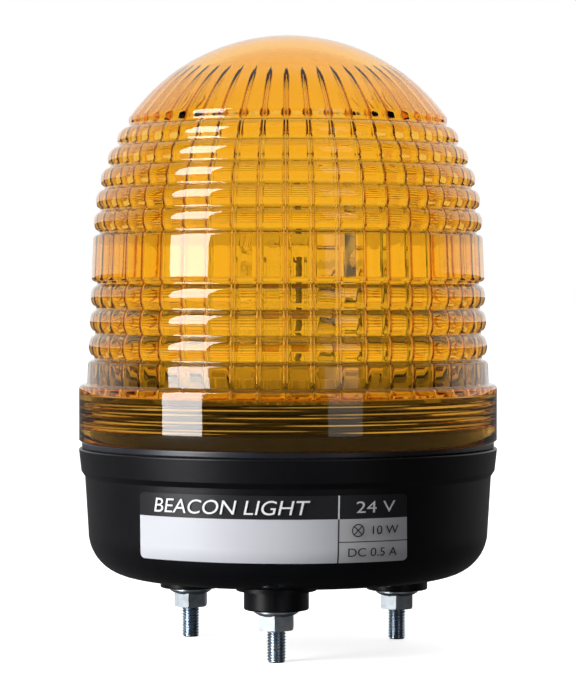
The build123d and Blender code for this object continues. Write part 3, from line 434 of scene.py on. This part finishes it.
def inner_rows():
    """Inside of the lens above the flange, from the top down: radius, height, share of the flutes' depth."""
    flute_top = 54.0
    rows = []
    for step in range(12):
        rows.append((*dome_at(89.5 - (89.5 - flute_top) * step / 11, LENS_DEPTH), 0.0))
    for step in range(1, 31):
        rows.append((*dome_at(flute_top * (1 - step / 30), LENS_DEPTH), min(1.0, step / 2)))
    roof = FLANGE_Z + FLANGE_H - 2.5 * MM
    for step in range(1, 17):
        z = DOME_Z + (roof - DOME_Z) * step / 16
        rows.append((wall_r(z, LENS_DEPTH), z, 1.0 if step < 16 else 0.0))
    return rows


def thread_height(phase):
    """A trapezoid ridge once in each turn, as a share of its full height."""
    from_crest = abs(phase % 1.0 - 0.5) * THREAD_PITCH
    return min(1.0, max(0.0, (0.45 * MM - from_crest) / (0.25 * MM)))


def build_lens():
    """The whole lens: beaded outside, fluted inside, and a threaded flange, as one closed skin."""
    columns = FLUTE_COUNT * len(FLUTE_SHARES)
    places = [rib + share - FLUTE_TURN for rib in range(FLUTE_COUNT) for share in FLUTE_SHARES]
    angles = [2 * math.pi * place / FLUTE_COUNT for place in places]
    directions = [(math.cos(a), math.sin(a)) for a in angles]
    outline = lens_outline()
    verts = [(r * c, r * s, z) for r, z in outline for c, s in directions]
    faces = grid_faces(len(outline), columns, 0, False)
    outer_top = len(verts) - columns
    verts.append((0, 0, TOP_Z))
    faces += [(outer_top + i, outer_top + (i + 1) % columns, len(verts) - 1) for i in range(columns)]

    start = len(verts)
    rows = inner_rows()
    for r, z, share in rows:
        for column, (c, s) in enumerate(directions):
            reach = r + flute(column) * FLUTE_DEPTH * share
            verts.append((reach * c, reach * s, z))
    inner_r = FLANGE_R - FLANGE_WALL
    thread_turns = THREAD_LENGTH / THREAD_PITCH
    roof = rows[-1][1]
    steps = 34
    threads = [roof - (roof - FLANGE_Z) * step / steps for step in range(steps + 1)]
    for z in threads:
        for angle, (c, s) in zip(angles, directions):
            turns = (z - THREAD_START) / THREAD_PITCH
            phase = turns - angle / (2 * math.pi)
            inside = 0.0 < turns < thread_turns + 1 and 0 <= phase + 0.5 <= thread_turns
            reach = inner_r - (THREAD_DEPTH * thread_height(phase + 0.5) if inside else 0.0)
            verts.append((reach * c, reach * s, z))
    faces += grid_faces(len(rows) + len(threads), columns, start, False)
    verts.append((0, 0, TOP_Z - LENS_DEPTH))
    faces += [(start + (i + 1) % columns, start + i, len(verts) - 1) for i in range(columns)]
    last = len(verts) - 1 - columns
    faces += [(last + i, last + (i + 1) % columns, (i + 1) % columns, i) for i in range(columns)]
    lens = make_object("amber_dome_lens", verts, faces, amber)
    shell = bmesh.new()
    shell.from_mesh(lens.data)
    bmesh.ops.recalc_face_normals(shell, faces=shell.faces)
    shell.to_mesh(lens.data)
    shell.free()
    return lens


lens = build_lens()
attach(lens, "lens_shell")
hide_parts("lens")

# ---- threads of the studs ----


def input_node(tree, label, value):
    socket = tree.interface.new_socket(label, in_out="INPUT", socket_type="NodeSocketFloat")
    socket.default_value = value
    return socket.identifier


def thread_tree():
    """Studs with a rolled thread and a hexagon head, spaced round the stud circle, with their tips on z = 0."""
    tree = bpy.data.node_groups.new("threaded_studs", "GeometryNodeTree")
    tree.interface.new_socket("Geometry", in_out="INPUT", socket_type="NodeSocketGeometry")
    tree.interface.new_socket("Geometry", in_out="OUTPUT", socket_type="NodeSocketGeometry")
    names = {"Radius": STUD_R, "Thread Depth": STUD_THREAD_DEPTH, "Pitch": STUD_PITCH, "Length": STUD_HEAD_Z,
             "Point Length": 0.8 * MM, "Circle Radius": STUD_CIRCLE, "Head Radius": STUD_HEAD_R,
             "Head Height": STUD_HEAD_H}
    sockets = {label: input_node(tree, label, value) for label, value in names.items()}
    given = tree.nodes.new("NodeGroupInput")
    rod = tree.nodes.new("GeometryNodeMeshCylinder")
    rod.inputs["Vertices"].default_value = 40
    rod.inputs["Side Segments"].default_value = 260
    tree.links.new(given.outputs["Radius"], rod.inputs["Radius"])
    tree.links.new(given.outputs["Length"], rod.inputs["Depth"])
    position = tree.nodes.new("GeometryNodeInputPosition")
    split = tree.nodes.new("ShaderNodeSeparateXYZ")
    tree.links.new(position.outputs[0], split.inputs[0])
    x, y, z = split.outputs
    height = math_node(tree, "MULTIPLY_ADD", given.outputs["Length"], 0.5, z)
    turn = math_node(tree, "DIVIDE", math_node(tree, "ARCTAN2", y, x), 2 * math.pi)
    turns = math_node(tree, "SUBTRACT", math_node(tree, "DIVIDE", height, given.outputs["Pitch"]), turn)
    wave = math_node(tree, "PINGPONG", turns, 0.5)
    flank = math_node(tree, "MINIMUM", math_node(tree, "MULTIPLY", wave, 2.3), 1.0)
    rise = math_node(tree, "DIVIDE", height, given.outputs["Point Length"])
    tip = math_node(tree, "MAXIMUM", math_node(tree, "SUBTRACT", 1.0, rise), 0.0)
    cut = math_node(tree, "MAXIMUM", math_node(tree, "SUBTRACT", 1.0, flank), tip)
    inward = math_node(tree, "DIVIDE", math_node(tree, "MULTIPLY", cut, given.outputs["Thread Depth"]),
                       given.outputs["Radius"])
    share = math_node(tree, "SUBTRACT", 1.0, inward)
    joined = tree.nodes.new("ShaderNodeCombineXYZ")
    tree.links.new(math_node(tree, "MULTIPLY", x, share), joined.inputs[0])
    tree.links.new(math_node(tree, "MULTIPLY", y, share), joined.inputs[1])
    tree.links.new(height, joined.inputs[2])
    placed = tree.nodes.new("GeometryNodeSetPosition")
    tree.links.new(rod.outputs["Mesh"], placed.inputs["Geometry"])
    tree.links.new(joined.outputs[0], placed.inputs["Position"])
    head = tree.nodes.new("GeometryNodeMeshCylinder")
    head.inputs["Vertices"].default_value = 6
    tree.links.new(given.outputs["Head Radius"], head.inputs["Radius"])
    tree.links.new(given.outputs["Head Height"], head.inputs["Depth"])
    lift = tree.nodes.new("ShaderNodeCombineXYZ")
    middle = math_node(tree, "MULTIPLY_ADD", given.outputs["Head Height"], 0.5, given.outputs["Length"])
    tree.links.new(middle, lift.inputs[2])
    seated = tree.nodes.new("GeometryNodeTransform")
    tree.links.new(head.outputs["Mesh"], seated.inputs["Geometry"])
    tree.links.new(lift.outputs[0], seated.inputs["Translation"])
    stud = tree.nodes.new("GeometryNodeJoinGeometry")
    tree.links.new(placed.outputs["Geometry"], stud.inputs[0])
    tree.links.new(seated.outputs["Geometry"], stud.inputs[0])
    circle = tree.nodes.new("GeometryNodeMeshCircle")
    circle.inputs["Vertices"].default_value = 3
    tree.links.new(given.outputs["Circle Radius"], circle.inputs["Radius"])
    around = tree.nodes.new("GeometryNodeTransform")
    around.inputs["Rotation"].default_value = (0, 0, math.radians(-90))
    tree.links.new(circle.outputs["Mesh"], around.inputs["Geometry"])
    copies = tree.nodes.new("GeometryNodeInstanceOnPoints")
    tree.links.new(around.outputs["Geometry"], copies.inputs["Points"])
    tree.links.new(stud.outputs["Geometry"], copies.inputs["Instance"])
    real = tree.nodes.new("GeometryNodeRealizeInstances")
    tree.links.new(copies.outputs["Instances"], real.inputs["Geometry"])
    paint = tree.nodes.new("GeometryNodeSetMaterial")
    paint.inputs["Material"].default_value = stud_zinc
    tree.links.new(real.outputs["Geometry"], paint.inputs["Geometry"])
    tree.links.new(paint.outputs["Geometry"], tree.nodes.new("NodeGroupOutput").inputs[0])
    return tree, sockets, names


def grown(name, tree, sockets, values, material):
    """Runs a geometry tree with these inputs and returns what it makes as a plain mesh."""
    seed = bpy.data.objects.new(name + "_seed", bpy.data.meshes.new(name + "_seed"))
    bpy.context.scene.collection.objects.link(seed)
    modifier = seed.modifiers.new("grow", "NODES")
    modifier.node_group = tree
    for label, value in values.items():
        modifier[sockets[label]] = value
    evaluated = seed.evaluated_get(bpy.context.evaluated_depsgraph_get())
    mesh = bpy.data.meshes.new_from_object(evaluated)
    seed.modifiers.remove(modifier)
    bpy.data.objects.remove(seed)
    mesh.name = name
    if not mesh.materials:
        mesh.materials.append(material)
    mesh.shade_smooth()
    piece = bpy.data.objects.new(name, mesh)
    bpy.context.scene.collection.objects.link(piece)
    return piece


studs = grown("threaded_studs", *thread_tree(), stud_zinc)
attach(studs, "housing")
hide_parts("mounting_studs")


# ---- rating label ----

LABEL_LOW, LABEL_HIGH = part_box("rating_label")
LABEL_H = LABEL_HIGH[2] - LABEL_LOW[2]
LABEL_R = -LABEL_LOW[1]
HEADER_Z = LABEL_LOW[2] + 0.652 * LABEL_H
RULE_Z = LABEL_LOW[2] + 0.31 * LABEL_H
DIVIDER_ANGLE = 18.7


def label_material():
    """Printed foil: a black header over a blank silver field, with a ruled grey cell at the right."""
    material = bpy.data.materials.new("printed_foil")
    material.use_nodes = True
    tree = material.node_tree
    shader = tree.nodes["Principled BSDF"]
    coords = tree.nodes.new("ShaderNodeTexCoord")
    split = tree.nodes.new("ShaderNodeSeparateXYZ")
    tree.links.new(coords.outputs["Object"], split.inputs[0])
    x, y, z = split.outputs
    angle = math_node(tree, "ARCTAN2", x, math_node(tree, "MULTIPLY", y, -1.0))
    divider = math.radians(DIVIDER_ANGLE)
    header = math_node(tree, "GREATER_THAN", z, HEADER_Z)
    right = math_node(tree, "GREATER_THAN", angle, divider)
    half_line = 0.22 * MM
    near_divider = math_node(tree, "COMPARE", angle, divider, half_line / LABEL_R)
    near_rule = math_node(tree, "COMPARE", z, RULE_Z, half_line * 0.6)
    rule = math_node(tree, "MULTIPLY", near_rule, right)
    field = blend_colours(material, right, (0.64, 0.65, 0.70), (0.62, 0.62, 0.65))
    field = blend_colours(material, rule, field, (0.05, 0.05, 0.06))
    field = blend_colours(material, header, field, (0.014, 0.014, 0.017))
    line = blend_colours(material, header, (0.05, 0.05, 0.06), (0.85, 0.85, 0.87))
    colour = blend_colours(material, near_divider, field, line)
    cloud = place_group(material, MOTTLE, Patch_Scale=90.0, Contrast=0.35)
    shade = tree.nodes.new("ShaderNodeMix")
    shade.data_type = "RGBA"
    shade.blend_type = "MULTIPLY"
    shade.inputs[0].default_value = 0.15
    tree.links.new(colour, shade.inputs[6])
    tree.links.new(cloud.outputs["Mask"], shade.inputs[7])
    tree.links.new(shade.outputs[2], shader.inputs["Base Color"])
    surface = place_group(material, GRAIN, Grain_Scale=4000.0, Gloss=0.3, Gloss_Change=0.05)
    tree.links.new(surface.outputs["Roughness"], shader.inputs["Roughness"])
    return material


printed_foil = label_material()
label_white = finish_material("label_white_ink", (0.78, 0.78, 0.8), (0.86, 0.86, 0.88),
                              roughness=0.4, bump=0.0)
label_black = finish_material("label_black_ink", (0.015, 0.015, 0.02), (0.03, 0.03, 0.035),
                              roughness=0.4, bump=0.0)
for slot in nodes["rating_label"].material_slots:
    slot.material = printed_foil


def wall_radius_at(z):
    """Outside of the label, which follows the wall and, below the foot, its round."""
    foot_z = LABEL_LOW[2] + 4.0 * MM
    if z < foot_z:
        return LABEL_R + math.sqrt((12 * MM) ** 2 - (foot_z - z) ** 2) - 12 * MM - 0.45 * MM
    return LABEL_R - 0.45 * MM + (z - foot_z) * 0.0582


def print_on_label(name, outline, angle, z, material):
    """Wraps a flat mesh, drawn round its own middle, onto the label at an angle and a height."""
    verts = []
    for v in outline.vertices:
        height = z + v.co.y
        turn = math.radians(angle) + v.co.x / LABEL_R
        reach = wall_radius_at(height) + 0.05 * MM + max(0.0, v.co.z)
        verts.append((reach * math.sin(turn), -reach * math.cos(turn), height))
    faces = [tuple(p.vertices) for p in outline.polygons]
    piece = make_object(name, verts, faces, material, smooth=False)
    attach(piece, "housing")
    return piece


def lettering(text, height, width, slant=0.0):
    """Flat lettering of a cap height and an overall width, as a mesh round its own middle."""
    curve = bpy.data.curves.new(text, "FONT")
    curve.body = text
    curve.align_x = "CENTER"
    curve.align_y = "CENTER"
    curve.size = 1.0
    curve.shear = slant
    curve.extrude = 0.0
    holder = bpy.data.objects.new(text, curve)
    bpy.context.scene.collection.objects.link(holder)
    bpy.context.view_layer.update()
    mesh = bpy.data.meshes.new_from_object(holder.evaluated_get(bpy.context.evaluated_depsgraph_get()))
    bpy.data.objects.remove(holder)
    xs = [v.co.x for v in mesh.vertices]
    ys = [v.co.y for v in mesh.vertices]
    middle = ((max(xs) + min(xs)) / 2, (max(ys) + min(ys)) / 2)
    for v in mesh.vertices:
        v.co.x = (v.co.x - middle[0]) * width / (max(xs) - min(xs))
        v.co.y = (v.co.y - middle[1]) * height / (max(ys) - min(ys))
    return mesh


header_mid = (HEADER_Z + LABEL_HIGH[2]) / 2
title = lettering("BEACON LIGHT", 3.7 * MM, 43 * MM, 0.2)
print_on_label("label_title", title, -11.0, header_mid, label_white)
print_on_label("label_voltage", lettering("24 V", 3.0 * MM, 11 * MM), 29.0, header_mid, label_white)


def lamp_symbol():
    """The general lamp symbol, a ring with a cross, as a flat mesh."""
    mesh = bmesh.new()
    outer, inner, arm = 1.7 * MM, 1.4 * MM, 0.14 * MM
    ring = []
    for step in range(48):
        c, s = math.cos(step * math.pi / 24), math.sin(step * math.pi / 24)
        ring.append((mesh.verts.new((outer * c, outer * s, 0)), mesh.verts.new((inner * c, inner * s, 0))))
    for (a, b), (c, d) in zip(ring, ring[1:] + ring[:1]):
        mesh.faces.new((a, c, d, b))
    for slope in (1, -1):
        end = inner * math.sqrt(0.5)
        off = arm * math.sqrt(0.5)
        corners = ((-end + off, -slope * end - slope * off), (end + off, slope * end - slope * off),
                   (end - off, slope * end + slope * off), (-end - off, -slope * end + slope * off))
        mesh.faces.new([mesh.verts.new((u, v, 0)) for u, v in corners])
    flat = bpy.data.meshes.new("lamp_symbol")
    bmesh.ops.recalc_face_normals(mesh, faces=mesh.faces)
    mesh.to_mesh(flat)
    mesh.free()
    return flat


cell_mid = (HEADER_Z + RULE_Z) / 2
print_on_label("label_lamp_symbol", lamp_symbol(), 24.0, cell_mid, label_black)
print_on_label("label_rating", lettering("10 W", 2.2 * MM, 7.5 * MM), 32.0, cell_mid, label_black)
foot_mid = (RULE_Z + LABEL_LOW[2]) / 2
print_on_label("label_current", lettering("DC 0.5 A", 2.2 * MM, 14 * MM), 28.5, foot_mid, label_black)

# ---- floor, light and camera ----

VIEW_AZIMUTH = 5.2
GLOW_SEEN = 0.75  # the floor's own light, as the camera sees it
GLOW_THROUGH_LENS = 0.5  # the same, for rays that have passed through clear material
ROOM_THROUGH_LENS = 0.95  # the room's light for those rays, where the backdrop is 1
ROOM_LIGHT = 0.02  # the room's light for every other ray


def stage_material():
    """A pale floor that is bright to the camera and through the lens, and dark to the object itself."""
    material = bpy.data.materials.new("pale_floor")
    material.use_nodes = True
    shader = material.node_tree.nodes["Principled BSDF"]
    shader.inputs["Roughness"].default_value = 0.7
    shader.inputs["Emission Color"].default_value = (1, 1, 1, 1)
    tree = material.node_tree
    path = tree.nodes.new("ShaderNodeLightPath")
    through = math_node(tree, "MINIMUM", path.outputs["Transmission Depth"], GLOW_THROUGH_LENS)
    direct = math_node(tree, "MULTIPLY", path.outputs["Is Camera Ray"], GLOW_SEEN)
    glow = math_node(tree, "MAXIMUM", direct, through)
    tree.links.new(glow, shader.inputs["Emission Strength"])
    shade = tree.nodes.new("ShaderNodeMix")
    shade.data_type = "RGBA"
    shade.inputs[6].default_value = (0.06, 0.06, 0.06, 1)
    shade.inputs[7].default_value = (0.85, 0.85, 0.85, 1)
    tree.links.new(path.outputs["Is Camera Ray"], shade.inputs[0])
    tree.links.new(shade.outputs[2], shader.inputs["Base Color"])
    return material


reach = 12.0
corners = [(-reach, -reach, 0), (reach, -reach, 0), (reach, reach, 0), (-reach, reach, 0)]
floor = make_object("pale_floor", corners, [(0, 1, 2, 3)], stage_material(), smooth=False)


def build_world():
    """A white backdrop behind the object and through the lens, and a dark room in front of it and above."""
    world = bpy.data.worlds.new("studio")
    bpy.context.scene.world = world
    world.use_nodes = True
    tree = world.node_tree
    coords = tree.nodes.new("ShaderNodeTexCoord")
    ahead = tree.nodes.new("ShaderNodeVectorMath")
    ahead.operation = "DOT_PRODUCT"
    turn = math.radians(VIEW_AZIMUTH)
    ahead.inputs[1].default_value = (-math.sin(turn), math.cos(turn), 0)
    tree.links.new(coords.outputs["Generated"], ahead.inputs[0])
    backdrop = tree.nodes.new("ShaderNodeMapRange")
    backdrop.interpolation_type = "SMOOTHSTEP"
    backdrop.inputs["From Min"].default_value = 0.0
    backdrop.inputs["From Max"].default_value = 0.5
    tree.links.new(ahead.outputs["Value"], backdrop.inputs["Value"])
    path = tree.nodes.new("ShaderNodeLightPath")
    through = math_node(tree, "MINIMUM", path.outputs["Transmission Depth"], ROOM_THROUGH_LENS)
    lit = math_node(tree, "MAXIMUM", through, backdrop.outputs["Result"])
    seen = math_node(tree, "MAXIMUM", path.outputs["Is Camera Ray"], lit)
    strength = math_node(tree, "MULTIPLY_ADD", seen, 1 - ROOM_LIGHT, ROOM_LIGHT)
    background = tree.nodes["Background"]
    background.inputs["Color"].default_value = (1, 1, 1, 1)
    tree.links.new(strength, background.inputs["Strength"])


build_world()


def soft_light(name, azimuth, height, distance, width, tall, power, aim_z=0.09):
    """An upright soft box at an azimuth from the camera's side, turned to the object."""
    turn = math.radians(azimuth)
    place = Vector((distance * math.sin(turn), -distance * math.cos(turn), height))
    lamp = bpy.data.lights.new(name, "AREA")
    lamp.shape = "RECTANGLE"
    lamp.size = width
    lamp.size_y = tall
    lamp.energy = power
    holder = bpy.data.objects.new(name, lamp)
    holder.location = place
    holder.rotation_euler = (Vector((0, 0, aim_z)) - place).to_track_quat("-Z", "Y").to_euler()
    holder.visible_transmission = False
    bpy.context.scene.collection.objects.link(holder)


soft_light("left_box", VIEW_AZIMUTH - 57, 0.25, 0.75, 0.34, 0.9, 13)
soft_light("right_box", VIEW_AZIMUTH + 30, 0.25, 0.95, 0.32, 0.9, 1.0)
soft_light("top_box", VIEW_AZIMUTH + 10, 1.1, 0.3, 1.5, 1.5, 2)


def build_camera():
    lens_mm = 134.0
    distance = 0.719
    eye_z = 0.096
    dip = 1.143
    data = bpy.data.cameras.new("camera")
    data.lens = lens_mm
    data.sensor_width = 36.0
    data.clip_start = 0.01
    camera = bpy.data.objects.new("camera", data)
    turn = math.radians(VIEW_AZIMUTH)
    camera.location = (distance * math.sin(turn), -distance * math.cos(turn), eye_z)
    camera.rotation_euler = (math.radians(90 - dip), 0, turn)
    bpy.context.scene.collection.objects.link(camera)
    bpy.context.scene.camera = camera


build_camera()
bpy.context.scene.view_settings.view_transform = "Standard"
